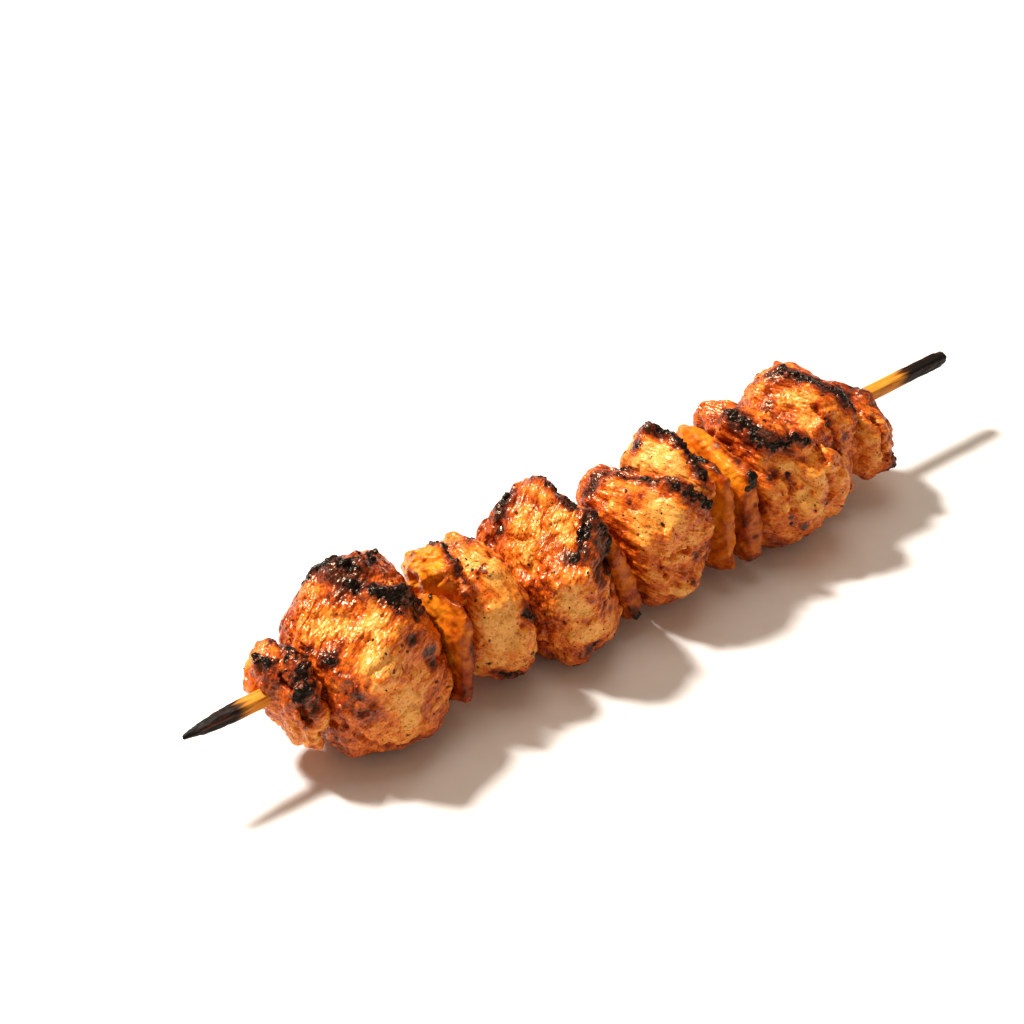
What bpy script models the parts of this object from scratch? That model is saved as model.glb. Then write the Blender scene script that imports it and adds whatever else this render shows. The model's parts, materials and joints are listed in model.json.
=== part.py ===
"""A grilled chicken kebab: one square bamboo skewer, nine pieces of chicken and five slices of sweet pepper.

The skewer runs along X with its point at -X, and the kebab lies on the table at Z = 0. Every piece of food is a
cluster of rounded lobes, cut along the seams where it is pressed against its neighbours and where it rests on the
table, and bored for the stick. Lobes and seams are given in millimetres from the middle of the stick.
"""

from collections import namedtuple

import bmesh
import bpy
import numpy as np

MM = 0.001
GAP = 0.3  # mm between any two pieces that touch

STICK_LENGTH = 250
STICK_SIDE = 3.1
STICK_HEIGHT = 23  # mm from the table to the stick's axis
STICK_ACROSS = 1.95  # mm from the middle of the kebab's width to the stick's axis
POINT_STEPS = ((0, 0.7), (6, 2.4), (13, STICK_SIDE))  # mm from the tip, and the side there
BUTT_LENGTH = 3  # mm over which the blunt end is burnt away
BUTT_SIDE = 2.3  # mm at that end
STICK_EDGE = 0.3  # mm of chamfer along the stick
BORE_LENGTH = STICK_LENGTH + 10  # mm, past both ends of the stick
STICK_PLACE = np.array((0, STICK_ACROSS, STICK_HEIGHT), float)

CHICKEN_CURL = 4.0  # mm over which a piece curls in towards its seams
PEPPER_CURL = 1.5
LOBE_BLENDING = 5.0  # mm over which two lobes of a piece flow together
REACH = 60  # mm, further than any piece extends from its heart
RAY_STEPS = 240
HALVINGS = 30
LEVEL = 0.003  # mm from the table within which a point lies on it

FLESH_ROUGHNESS = 0.4
BAMBOO = (0.42, 0.22, 0.07)
BAMBOO_ROUGHNESS = 0.6

# centre and half are (along, across, up) in mm. A square of 2 is an ellipsoid, and more squares its corners. turn is
# in degrees about the vertical, and lean in degrees about the line across the stick.
Lobe = namedtuple("Lobe", "centre half square turn lean", defaults=(2.3, 0, 0))

# The plane between two neighbours: where it crosses the stick's axis, and how far it moves along the stick for
# each millimetre across and up.
Seam = namedtuple("Seam", "along across up")

CHICKEN_1_2 = Seam(-92.5, -0.08, 0.10)
CHICKEN_2_PEPPERS = Seam(-58.8, 0.0, 0.03)
PEPPER_1_2 = Seam(-53.2, -0.45, -0.40)
PEPPER_1_CHICKEN_3 = Seam(-52.4, 0.05, 0.07)
PEPPER_2_CHICKEN_3 = Seam(-49.4, 0.30, 0.20)
CHICKEN_3_4 = Seam(-33.6, -0.05, -0.08)
CHICKEN_4_PEPPER_3 = Seam(-9.0, -0.05, -0.20)
PEPPER_3_CHICKEN_5 = Seam(-2.4, -0.05, -0.26)
CHICKEN_5_6 = Seam(19.0, -0.45, -0.55)
CHICKEN_PEPPER_4 = Seam(25.3, 0.0, 0.08)
PEPPER_4_5 = Seam(31.8, 0.0, 0.0)
PEPPER_5_CHICKEN_7 = Seam(39.6, 0.0, -0.06)
CHICKEN_7_8 = Seam(58.2, -0.45, -0.45)
CHICKEN_8_9 = Seam(78.0, 0.0, 0.10)

# Each piece: its lobes, the first of which gives the proportions of its mesh; the seams that it lies after and
# before; the point its surface is seen from; and the cells along an edge of the cube its mesh starts from.
Piece = namedtuple("Piece", "lobes after before heart cells curl colour")

PALE = (0.78, 0.42, 0.14)
ROASTED = (0.66, 0.26, 0.06)
PEPPER_ORANGE = (0.76, 0.24, 0.03)

PIECES = {
    "chicken_1": Piece(
        [
            Lobe((-93.5, 0, -1.5), (7.8, 12, 11), 2.3, 25),
            Lobe((-92.5, -6, -6.5), (6.5, 7.5, 8)),
            Lobe((-97, 4.5, 2.5), (6, 6, 6)),
        ],
        [], [CHICKEN_1_2], (-94.5, 0, -1), 6, CHICKEN_CURL, ROASTED,
    ),
    "chicken_2": Piece(
        [
            Lobe((-75, -0.5, -2.5), (17.5, 20.5, 21.5), 2.4),
            Lobe((-67.5, 6, 8), (13, 11, 10.5)),
            Lobe((-70, -7, -9), (12, 14.5, 13)),
            Lobe((-83, -7, -8), (9, 11, 11)),
        ],
        [CHICKEN_1_2], [CHICKEN_2_PEPPERS], (-75, 0, -1), 8, CHICKEN_CURL, ROASTED,
    ),
    "pepper_1": Piece(
        [Lobe((-56, -4.2, -3), (2.9, 17.5, 17.5), 3.2, 0, 4)],
        [CHICKEN_2_PEPPERS], [PEPPER_1_2, PEPPER_1_CHICKEN_3], (-56, -4, -4), 6, PEPPER_CURL, PEPPER_ORANGE,
    ),
    "pepper_2": Piece(
        [
            Lobe((-51.4, -1, 0), (2.4, 16, 15), 3),
            Lobe((-51.6, -2.5, 8.5), (7.4, 11.5, 8)),
        ],
        [CHICKEN_2_PEPPERS, PEPPER_1_2], [PEPPER_2_CHICKEN_3], (-51.6, -1, 4), 6, PEPPER_CURL, PEPPER_ORANGE,
    ),
    "chicken_3": Piece(
        [
            Lobe((-43, -1, -2), (12, 16.5, 17), 2.6),
            Lobe((-38, -5, -6.5), (7, 13.5, 13)),
        ],
        [PEPPER_1_CHICKEN_3, PEPPER_2_CHICKEN_3], [CHICKEN_3_4], (-41.5, -2, -4), 7, CHICKEN_CURL, PALE,
    ),
    "chicken_4": Piece(
        [
            Lobe((-19.5, -4, -3), (14, 19.5, 20.6), 3, 18),
            Lobe((-13, 3.5, 9.5), (8, 9, 9.5), 2.6, 25),
        ],
        [CHICKEN_3_4], [CHICKEN_4_PEPPER_3], (-19, -3, -2), 8, CHICKEN_CURL, ROASTED,
    ),
    "pepper_3": Piece(
        [
            Lobe((-5.6, -3.5, -3.2), (3.0, 15.5, 17), 3, 0, -14),
            Lobe((-1.6, -9.5, -13), (3.2, 5.5, 6)),
        ],
        [CHICKEN_4_PEPPER_3], [PEPPER_3_CHICKEN_5], (-5.4, -4, -4), 6, PEPPER_CURL, PEPPER_ORANGE,
    ),
    "chicken_5": Piece(
        [
            Lobe((11.5, -3.5, -1), (14.5, 17.5, 18), 2.9),
            Lobe((11.5, -11, -11), (8, 8, 9)),
        ],
        [PEPPER_3_CHICKEN_5], [CHICKEN_5_6, CHICKEN_PEPPER_4], (9, -4, -3), 8, CHICKEN_CURL, ROASTED,
    ),
    "chicken_6": Piece(
        [
            Lobe((22.5, -3.5, 4.5), (10, 17, 12), 2.8),
            Lobe((27, 4, 10), (5.5, 8, 8)),
        ],
        [CHICKEN_5_6], [CHICKEN_PEPPER_4], (22.8, -2, 5), 6, CHICKEN_CURL, PALE,
    ),
    "pepper_4": Piece(
        [Lobe((28.5, -4, -4), (2.9, 18, 18.5), 3)],
        [CHICKEN_PEPPER_4], [PEPPER_4_5], (28.5, -4, -4), 6, PEPPER_CURL, PEPPER_ORANGE,
    ),
    "pepper_5": Piece(
        [Lobe((35.8, -4.5, -3.5), (3.4, 17.5, 17.5), 4, 0, -3)],
        [PEPPER_4_5], [PEPPER_5_CHICKEN_7], (35.8, -4, -4), 6, PEPPER_CURL, PEPPER_ORANGE,
    ),
    "chicken_7": Piece(
        [
            Lobe((55, -4, -3.5), (17.5, 19.5, 20.6), 2.5),
            Lobe((48.5, 5, 9.5), (8.5, 10, 9), 2.6),
        ],
        [PEPPER_5_CHICKEN_7], [CHICKEN_7_8], (51, -3, -2), 8, CHICKEN_CURL, ROASTED,
    ),
    "chicken_8": Piece(
        [
            Lobe((69, 0, -1), (15, 16.5, 17), 2.5),
            Lobe((74, -7, -9), (9, 13.5, 12.5)),
            Lobe((73, 5, 8), (8, 9, 7.5)),
        ],
        [CHICKEN_7_8], [CHICKEN_8_9], (69, -1, -1), 8, CHICKEN_CURL, ROASTED,
    ),
    "chicken_9": Piece(
        [
            Lobe((84.8, -6, -5.5), (8, 12, 11.5)),
            Lobe((83, -1, 0), (7, 8, 7.5)),
        ],
        [CHICKEN_8_9], [], (86, -3, -3), 6, CHICKEN_CURL, ROASTED,
    ),
}


def clear_scene():
    for old in list(bpy.data.objects):
        bpy.data.objects.remove(old, do_unlink=True)


def new_collection(name):
    collection = bpy.data.collections.new(name)
    bpy.context.scene.collection.children.link(collection)
    return collection


def add_object(name, mesh, collection):
    made = bpy.data.objects.new(name, mesh)
    collection.objects.link(made)
    return made


def principled(name, colour, roughness):
    material = bpy.data.materials.new(name)
    material.use_nodes = True
    shader = material.node_tree.nodes["Principled BSDF"]
    shader.inputs["Base Color"].default_value = (*colour, 1)
    shader.inputs["Roughness"].default_value = roughness
    return material


def turned(points, turn, lean):
    """Points in a lobe's own axes, where it is neither turned nor leaning."""
    t, s = np.radians(turn), np.radians(lean)
    x, y, z = points.T
    x, y = x * np.cos(t) + y * np.sin(t), y * np.cos(t) - x * np.sin(t)
    x, z = x * np.cos(s) - z * np.sin(s), z * np.cos(s) + x * np.sin(s)
    return np.stack([x, y, z], axis=1)


def lobe_depth(points, lobe):
    """Below zero inside the lobe, and about the distance to its surface near it."""
    local = turned(points - np.array(lobe.centre, float), lobe.turn, lobe.lean) / np.array(lobe.half, float)
    return ((np.abs(local) ** lobe.square).sum(axis=1) ** (1 / lobe.square) - 1) * min(lobe.half)


def blended_larger(a, b, rounding):
    near = np.maximum(rounding - np.abs(a - b), 0) / rounding
    return np.maximum(a, b) + near**2 * rounding / 4


def seam_depth(points, seam, side):
    """Distance past the seam's half of the gap. side is 1 for a piece that lies before the seam, -1 after it."""
    x, y, z = points.T
    past = x - (seam.along + seam.across * y + seam.up * z)
    return side * past / np.sqrt(1 + seam.across**2 + seam.up**2) + GAP / 2


def piece_depth(points, piece):
    depth = lobe_depth(points, piece.lobes[0])
    for lobe in piece.lobes[1:]:
        depth = -blended_larger(-depth, -lobe_depth(points, lobe), LOBE_BLENDING)
    for seams, side in ((piece.after, -1), (piece.before, 1)):
        for seam in seams:
            depth = blended_larger(depth, seam_depth(points, seam, side), piece.curl)
    table = -STICK_HEIGHT - points[:, 2]
    return np.maximum(depth, table)


def surface_along(directions, piece):
    """The last point of the piece along each ray from its heart."""
    heart = np.array(piece.heart, float)
    steps = np.linspace(0, REACH, RAY_STEPS)
    samples = heart + directions[:, None, :] * steps[None, :, None]
    inside = (piece_depth(samples.reshape(-1, 3), piece) < 0).reshape(len(directions), RAY_STEPS)
    last = RAY_STEPS - 1 - np.argmax(inside[:, ::-1], axis=1)
    near, far = steps[last], steps[last + 1]
    for _ in range(HALVINGS):
        middle = (near + far) / 2
        within = piece_depth(heart + directions * middle[:, None], piece) < 0
        near = np.where(within, middle, near)
        far = np.where(within, far, middle)
    return heart + directions * near[:, None]


def food_mesh(name, piece):
    """A cube of equal cells, each of whose points is moved out to the piece's surface."""
    bm = bmesh.new()
    bmesh.ops.create_cube(bm, size=2)
    bmesh.ops.subdivide_edges(bm, edges=bm.edges[:], cuts=piece.cells - 1, use_grid_fill=True)
    cube = np.array([v.co[:] for v in bm.verts])
    directions = np.tan(cube * np.pi / 4) * np.array(piece.lobes[0].half, float)
    directions /= np.linalg.norm(directions, axis=1)[:, None]
    for vert, place in zip(bm.verts, surface_along(directions, piece)):
        vert.co = (place + STICK_PLACE) * MM
        if abs(vert.co.z) < LEVEL * MM:
            vert.co.z = 0
    bmesh.ops.recalc_face_normals(bm, faces=bm.faces[:])
    mesh = bpy.data.meshes.new(name)
    bm.to_mesh(mesh)
    bm.free()
    mesh.shade_smooth()
    return mesh


def stick_mesh():
    """A square bar, ringed where its taper changes and narrowed there: sharpened at -X, burnt away a little at +X."""
    bm = bmesh.new()
    bmesh.ops.create_cube(bm, size=1)
    bmesh.ops.scale(bm, verts=bm.verts[:], vec=np.array((STICK_LENGTH, STICK_SIDE, STICK_SIDE)) * MM)
    tapers = [(step - STICK_LENGTH / 2, side) for step, side in POINT_STEPS]
    tapers += [(STICK_LENGTH / 2 - BUTT_LENGTH, STICK_SIDE), (STICK_LENGTH / 2, BUTT_SIDE)]
    for along, _ in tapers[1:-1]:
        geometry = bm.verts[:] + bm.edges[:] + bm.faces[:]
        bmesh.ops.bisect_plane(bm, geom=geometry, plane_co=(along * MM, 0, 0), plane_no=(1, 0, 0))
    for along, side in tapers:
        ring = [v for v in bm.verts if abs(v.co.x - along * MM) < MM]
        bmesh.ops.scale(bm, verts=ring, vec=(1, side / STICK_SIDE, side / STICK_SIDE))
    bmesh.ops.translate(bm, verts=bm.verts[:], vec=STICK_PLACE * MM)
    mesh = bpy.data.meshes.new("skewer")
    bm.to_mesh(mesh)
    bm.free()
    return mesh


def build_stick(collection):
    stick = add_object("skewer", stick_mesh(), collection)
    stick.data.materials.append(principled("bamboo", BAMBOO, BAMBOO_ROUGHNESS))
    chamfer = stick.modifiers.new("chamfer", "BEVEL")
    chamfer.width = STICK_EDGE * MM
    chamfer.segments = 1
    chamfer.limit_method = "ANGLE"


def build_bore(collection):
    """The square hole that the stick leaves, as a cutter longer than the stick."""
    bm = bmesh.new()
    bmesh.ops.create_cube(bm, size=1)
    side = STICK_SIDE + 2 * GAP
    bmesh.ops.scale(bm, verts=bm.verts[:], vec=np.array((BORE_LENGTH, side, side)) * MM)
    bmesh.ops.translate(bm, verts=bm.verts[:], vec=STICK_PLACE * MM)
    mesh = bpy.data.meshes.new("stick_bore")
    bm.to_mesh(mesh)
    bm.free()
    bore = add_object("stick_bore", mesh, collection)
    bore.hide_render = True
    bore.display_type = "WIRE"
    return bore


def build_food(name, piece, bore, collection):
    food = add_object(name, food_mesh(name, piece), collection)
    food.data.materials.append(principled(name + "_flesh", piece.colour, FLESH_ROUGHNESS))
    cut = food.modifiers.new("stick bore", "BOOLEAN")
    cut.operation = "DIFFERENCE"
    cut.solver = "EXACT"
    cut.object = bore


clear_scene()
kebab = new_collection("chicken_kebab_skewer")
stick_cutter = build_bore(new_collection("cutters"))
build_stick(kebab)
for piece_name, piece_plan in PIECES.items():
    build_food(piece_name, piece_plan, stick_cutter, kebab)
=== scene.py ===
import json
import math
import random

import bpy
import numpy as np
from mathutils import Matrix, Quaternion, Vector, noise
from mathutils.bvhtree import BVHTree

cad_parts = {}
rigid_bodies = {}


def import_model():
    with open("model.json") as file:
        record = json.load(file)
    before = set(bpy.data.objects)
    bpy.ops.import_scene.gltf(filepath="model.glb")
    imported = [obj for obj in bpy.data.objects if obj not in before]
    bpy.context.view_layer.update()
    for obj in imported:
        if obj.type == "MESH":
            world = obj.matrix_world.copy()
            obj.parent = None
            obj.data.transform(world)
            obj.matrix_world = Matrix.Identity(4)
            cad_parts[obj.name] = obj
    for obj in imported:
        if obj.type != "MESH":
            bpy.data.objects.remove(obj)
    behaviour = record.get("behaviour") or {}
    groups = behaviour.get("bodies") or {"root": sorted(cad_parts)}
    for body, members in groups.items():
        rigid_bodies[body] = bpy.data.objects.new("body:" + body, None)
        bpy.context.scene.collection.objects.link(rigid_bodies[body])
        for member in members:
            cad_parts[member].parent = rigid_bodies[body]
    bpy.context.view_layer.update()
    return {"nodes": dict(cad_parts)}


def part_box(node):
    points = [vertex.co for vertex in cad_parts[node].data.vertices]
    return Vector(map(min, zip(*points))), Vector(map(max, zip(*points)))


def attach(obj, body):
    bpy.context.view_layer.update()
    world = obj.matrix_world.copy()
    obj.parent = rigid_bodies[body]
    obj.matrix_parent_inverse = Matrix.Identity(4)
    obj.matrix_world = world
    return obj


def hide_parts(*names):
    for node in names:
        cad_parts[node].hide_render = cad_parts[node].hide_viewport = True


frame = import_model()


# ---- The skewer --------------------------------------------------------------------------------------
# A square bamboo stick, sawn from a cane and sharpened at one end. Grilling has burnt its bare ends black
# and left it golden where the juices of the meat kept it wet. Everything else is threaded onto it.

MM = 0.001

stick_low, stick_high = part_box("skewer")
STICK_MIDDLE = (stick_low + stick_high) / 2
STICK_SIDE = stick_high.y - stick_low.y
BARE_FROM, BARE_TO = -97 * MM, 88 * MM  # where the stick enters the meat and comes out of it

STICK_CELL = 0.34 * MM
STICK_SWELL = 0.35 * MM  # the bare ends stand a little thicker than the part inside the meat
GOLDEN_NEAR, GOLDEN_FAR = (4 * MM, 20 * MM), (10 * MM, 29 * MM)  # out of the meat, where gold turns black
SLIVER_SIZE, SLIVER_HEIGHT, SLIVER_STRETCH = 0.5 * MM, 0.22 * MM, 22
ASH_SIZE, ASH_HEIGHT, ASH_STRETCH = 0.8 * MM, 0.56 * MM, 4


def select_only(piece):
    bpy.ops.object.select_all(action="DESELECT")
    piece.select_set(True)
    bpy.context.view_layer.objects.active = piece


def copy_of(node, name):
    """A CAD node's solid as a new object, with its loose triangles joined up."""
    piece = bpy.data.objects.new(name, frame["nodes"][node].data.copy())
    bpy.context.scene.collection.objects.link(piece)
    piece.data.materials.clear()
    select_only(piece)
    bpy.ops.object.mode_set(mode="EDIT")
    bpy.ops.mesh.select_all(action="SELECT")
    bpy.ops.mesh.remove_doubles(threshold=0.01 * MM)
    bpy.ops.mesh.select_all(action="DESELECT")
    bpy.ops.object.mode_set(mode="OBJECT")
    return piece


def apply_modifier(piece, kind, **settings):
    modifier = piece.modifiers.new(kind.title(), kind)
    for name, value in settings.items():
        setattr(modifier, name, value)
    select_only(piece)
    bpy.ops.object.modifier_apply(modifier=modifier.name)


def roughen(piece, pattern, height, middle=0.5, along=None, within=""):
    """Presses a pattern into a piece. along is the pattern's grain, within the group that limits it."""
    grain = {} if along is None else {"texture_coords": "OBJECT", "texture_coords_object": along}
    apply_modifier(piece, "DISPLACE", texture=pattern, strength=height, mid_level=middle,
                   vertex_group=within, **grain)


def texture(kind, size, **settings):
    """A relief pattern whose features are about size across."""
    made = bpy.data.textures.new(kind.title(), kind)
    made.noise_scale = size
    for name, value in settings.items():
        setattr(made, name, value)
    return made


def stretched(turn, lean, stretch):
    """A grain for a relief pattern: turned and leaning in degrees, and drawn out along its own X."""
    grain = bpy.data.objects.new("grain", None)
    bpy.context.scene.collection.objects.link(grain)
    grain.rotation_euler = (0, math.radians(lean), math.radians(turn))
    grain.scale = (stretch, 1, 1)
    bpy.context.view_layer.update()
    return grain


def points_of(piece):
    points = np.empty(len(piece.data.vertices) * 3, np.float32)
    piece.data.vertices.foreach_get("co", points)
    return points.reshape(-1, 3).astype(float)


def normals_of(piece):
    normals = np.empty(len(piece.data.vertices) * 3, np.float32)
    piece.data.vertex_normals.foreach_get("vector", normals)
    return normals.reshape(-1, 3).astype(float)


def cloud(points, size, shift, octaves=3):
    """Soft chance values, about -1 to 1, one for each point, that change over about size."""
    where = (points / size + shift * 7.3).tolist()
    return np.array([noise.fractal(place, 1.0, 2.0, octaves) for place in where])


def smooth_step(values, low, high):
    part = np.clip((values - low) / (high - low), 0, 1)
    return part * part * (3 - 2 * part)


def store(piece, name, values):
    """Keeps one value for each point under a name that the material reads."""
    kept = piece.data.attributes.new(name, "FLOAT", "POINT")
    kept.data.foreach_set("value", np.asarray(values, np.float32))


def weigh(piece, name, weights):
    """A vertex group with these weights, so that a modifier can follow them."""
    group = piece.vertex_groups.new(name=name)
    levels = 120
    steps = np.round(np.clip(weights, 0, 1) * levels).astype(int)
    for step in range(1, levels + 1):
        found = np.flatnonzero(steps == step)
        if len(found):
            group.add(found.tolist(), step / levels, "REPLACE")


class Finish:
    """A Principled material whose nodes are added one after another."""

    def __init__(self, name):
        self.material = bpy.data.materials.new(name)
        self.material.use_nodes = True
        self.nodes = self.material.node_tree.nodes
        self.links = self.material.node_tree.links
        self.shader = self.nodes["Principled BSDF"]
        self.place = self.add("TexCoord").outputs["Object"]

    def add(self, kind, **inputs):
        made = self.nodes.new("ShaderNode" + kind)
        for name, value in inputs.items():
            self.feed(made.inputs[name.replace("_", " ")], value)
        return made

    def feed(self, socket, value):
        if isinstance(value, bpy.types.NodeSocket):
            self.links.new(value, socket)
        else:
            socket.default_value = value

    def value(self, name):
        made = self.add("Attribute")
        made.attribute_name = name
        return made.outputs["Fac"]

    def noise(self, size, detail=4.0, roughness=0.6, distortion=0.0, place=None):
        made = self.add("TexNoise", Vector=place or self.place, Scale=1 / size, Detail=detail)
        made.inputs["Roughness"].default_value = roughness
        made.inputs["Distortion"].default_value = distortion
        return made.outputs["Fac"]

    def sums(self, operation, first, second, third=None):
        made = self.add("Math")
        made.operation = operation
        for socket, value in zip(made.inputs, (first, second, third)):
            if value is not None:
                self.feed(socket, value)
        return made.outputs[0]

    def span(self, value, low, high, new_low=0.0, new_high=1.0):
        made = self.add("MapRange", Value=value)
        made.interpolation_type = "SMOOTHSTEP"
        limits = {"From Min": low, "From Max": high, "To Min": new_low, "To Max": new_high}
        for name, limit in limits.items():
            made.inputs[name].default_value = limit
        return made.outputs["Result"]

    def ramp(self, value, stops):
        made = self.add("ValToRGB", Fac=value)
        while len(made.color_ramp.elements) < len(stops):
            made.color_ramp.elements.new(1.0)
        for element, (where, colour) in zip(made.color_ramp.elements, stops):
            element.position = where
            element.color = (*colour, 1)
        return made.outputs["Color"]

    def blend(self, amount, first, second):
        made = self.add("Mix")
        made.data_type = "RGBA"
        self.feed(made.inputs[0], amount)
        self.feed(made.inputs[6], first if isinstance(first, bpy.types.NodeSocket) else (*first, 1))
        self.feed(made.inputs[7], second if isinstance(second, bpy.types.NodeSocket) else (*second, 1))
        return made.outputs[2]

    def bump(self, height, depth, under=None):
        made = self.add("Bump", Height=height, Distance=depth)
        if under is not None:
            self.links.new(under, made.inputs["Normal"])
        return made.outputs["Normal"]


def bamboo():
    finish = Finish("burnt bamboo")
    along = finish.add("Mapping", Vector=finish.place)
    along.inputs["Scale"].default_value = (0.04, 1, 1)
    along = along.outputs["Vector"]
    grain = finish.noise(0.30 * MM, 5, 0.65, 0.3, along)
    streak = finish.noise(0.9 * MM, 4, 0.6, 0.0, along)
    fresh = finish.ramp(grain, [
        (0.34, (0.30, 0.060, 0.006)), (0.46, (0.66, 0.22, 0.018)), (0.70, (0.84, 0.38, 0.045)),
    ])
    charred = finish.ramp(streak, [
        (0.40, (0.004, 0.003, 0.002)), (0.58, (0.010, 0.005, 0.004)), (0.68, (0.11, 0.028, 0.008)),
        (0.78, (0.035, 0.025, 0.020)),
    ])
    char = finish.sums("ADD", finish.value("char"), finish.sums("MULTIPLY_ADD", streak, 0.9, -0.45))
    colour = finish.blend(finish.span(char, 0.30, 0.72), fresh, charred)
    finish.feed(finish.shader.inputs["Base Color"], colour)
    finish.feed(finish.shader.inputs["Roughness"], finish.span(grain, 0.3, 0.7, 0.32, 0.6))
    finish.shader.inputs["Specular IOR Level"].default_value = 0.12
    finish.feed(finish.shader.inputs["Normal"], finish.bump(grain, 0.12 * MM))
    return finish.material


stick = copy_of("skewer", "bamboo_stick")
apply_modifier(stick, "REMESH", mode="VOXEL", voxel_size=STICK_CELL)
apply_modifier(stick, "SMOOTH", factor=0.5, iterations=2)
apply_modifier(stick, "DISPLACE", strength=STICK_SWELL, mid_level=0)
stick_points = points_of(stick)
stick_along = stick_points[:, 0]
near_end = smooth_step(-stick_along, GOLDEN_NEAR[0] - BARE_FROM, GOLDEN_NEAR[1] - BARE_FROM)
far_end = smooth_step(stick_along, BARE_TO + GOLDEN_FAR[0], BARE_TO + GOLDEN_FAR[1])
stick_char = np.maximum(near_end, far_end)
weigh(stick, "burnt", stick_char)
slivers = texture("CLOUDS", SLIVER_SIZE, noise_depth=2)
roughen(stick, slivers, SLIVER_HEIGHT, along=stretched(0, 0, SLIVER_STRETCH))
ash = texture("CLOUDS", ASH_SIZE, noise_depth=3)
roughen(stick, ash, ASH_HEIGHT, 0.55, stretched(0, 0, ASH_STRETCH), "burnt")
store(stick, "char", stick_char)
stick.data.shade_smooth()
stick.data.materials.append(bamboo())
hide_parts("skewer")
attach(stick, "root")


# ---- The chicken: how every piece is made ------------------------------------------------------------
# Thigh and breast cut into chunks of 30 to 40 mm, rubbed with oil and paprika, threaded and grilled. Each
# chunk starts as its solid, gets the swellings and creases of its own muscles, and is then browned and
# charred by marks that are drawn on it. Its colour also holds painted shade, near the table, in hollows and
# between chunks.

FLESH_CELL = 1.15 * MM
FLESH_SMOOTHING = 3
PRESSED_OUT = 0.42 * MM  # how far a piece swells to press on its neighbours
HOLE_SLACK = 0.45 * MM  # how much wider than the stick the hole in a solid may be
EDGE_ROUNDS = 10
STATION_STEP = 1.0  # mm between the points at which a mark touches the surface
USUAL_RADIUS = 19  # mm from the stick to the surface, for the length of a mark
OUTSIDE = 60 * MM

TALLEST_SWELL = 6  # mm
CREASE_DEPTH = 1.7 * MM
MUSCLE_SIZE, MUSCLE_HEIGHT = 9 * MM, 2.6 * MM
LUMP_SIZE, LUMP_HEIGHT = 3.2 * MM, 0.6 * MM
FOLD_SIZE, FOLD_HEIGHT, FOLD_STRETCH = 2.0 * MM, 1.5 * MM, 5
CRINKLE_SIZE, CRINKLE_HEIGHT, CRINKLE_STRETCH = 1.2 * MM, 1.3 * MM, 4
CRUST_SIZE, CRUST_HEIGHT = 2.0 * MM, 1.5 * MM
BLISTER_SIZE, BLISTER_HEIGHT = 0.9 * MM, 0.45 * MM
FIBRE_STRETCH = 4.5
PIMPLE_DEPTH, RIPPLE_DEPTH = 0.14 * MM, 0.40 * MM

PALE_CREAM = (0.88, 0.385, 0.075)
GOLD = (0.82, 0.225, 0.018)
PAPRIKA = (0.62, 0.100, 0.006)
ROAST = (0.25, 0.025, 0.003)
SCORCHED = (0.030, 0.005, 0.003)
SOOT = (0.004, 0.003, 0.003)


def surface_point(tree, along, around):
    turn = math.radians(around)
    outward = Vector((0, -math.cos(turn), math.sin(turn)))
    axis = Vector((along * MM, STICK_MIDDLE.y, STICK_MIDDLE.z))
    return tree.ray_cast(axis + outward * OUTSIDE, -outward)[0]


def track_of(tree, stations):
    """The points of a surface that a mark touches on its way from station to station.

    A station is mm along the stick from the middle of the kebab, and degrees round the stick, where 0 faces
    the front, 90 is the top and 180 the back.
    """
    track = []
    for (along, around), (next_along, next_around) in zip(stations, stations[1:] + stations[-1:]):
        length = math.hypot(next_along - along, math.radians(next_around - around) * USUAL_RADIUS)
        for part in np.linspace(0, 1, int(length / STATION_STEP) + 1, endpoint=len(stations) == 1):
            now_along = along + (next_along - along) * part
            now_around = around + (next_around - around) * part
            place = surface_point(tree, now_along, now_around)
            if place is not None:
                track.append(place)
    return np.array(track)


def brushed(points, tree, marks, wander=None):
    """How strongly each point is touched by any of the marks, from 0 to 1.

    A mark is its width in mm, then its stations. wander makes its edges ragged.
    """
    touched = np.zeros(len(points))
    for width, *stations in marks:
        track = track_of(tree, list(stations))
        if not len(track):
            continue
        away = np.full(len(points), np.inf)
        for place in track:
            away = np.minimum(away, ((points - place) ** 2).sum(axis=1))
        away = np.sqrt(away) / (width * MM)
        if wander is not None:
            away = away + wander
        touched = np.maximum(touched, smooth_step(1 - away, 0, 1))
    return touched


def raised(points, tree, swells):
    """How far, in mm, the swells lift each point. A swell is its height, then its mark."""
    lifts = [height * brushed(points, tree, [mark]) for height, *mark in swells]
    return sum(lifts, np.zeros(len(points)))


def fill_stick_hole(piece):
    """Takes out the walls of the stick's hole and closes its ends, so that the flesh grips the stick."""
    reach = STICK_SIDE / 2 + HOLE_SLACK
    for face in piece.data.polygons:
        corners = [piece.data.vertices[i].co - STICK_MIDDLE for i in face.vertices]
        beside_stick = all(abs(c.y) < reach and abs(c.z) < reach for c in corners)
        face.select = beside_stick and abs(face.normal.x) < 0.01
    select_only(piece)
    bpy.ops.object.mode_set(mode="EDIT")
    bpy.ops.mesh.select_mode(type="FACE")
    bpy.ops.mesh.delete(type="FACE")
    bpy.ops.mesh.select_all(action="SELECT")
    bpy.ops.mesh.fill_holes(sides=0)
    bpy.ops.object.mode_set(mode="OBJECT")


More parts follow.
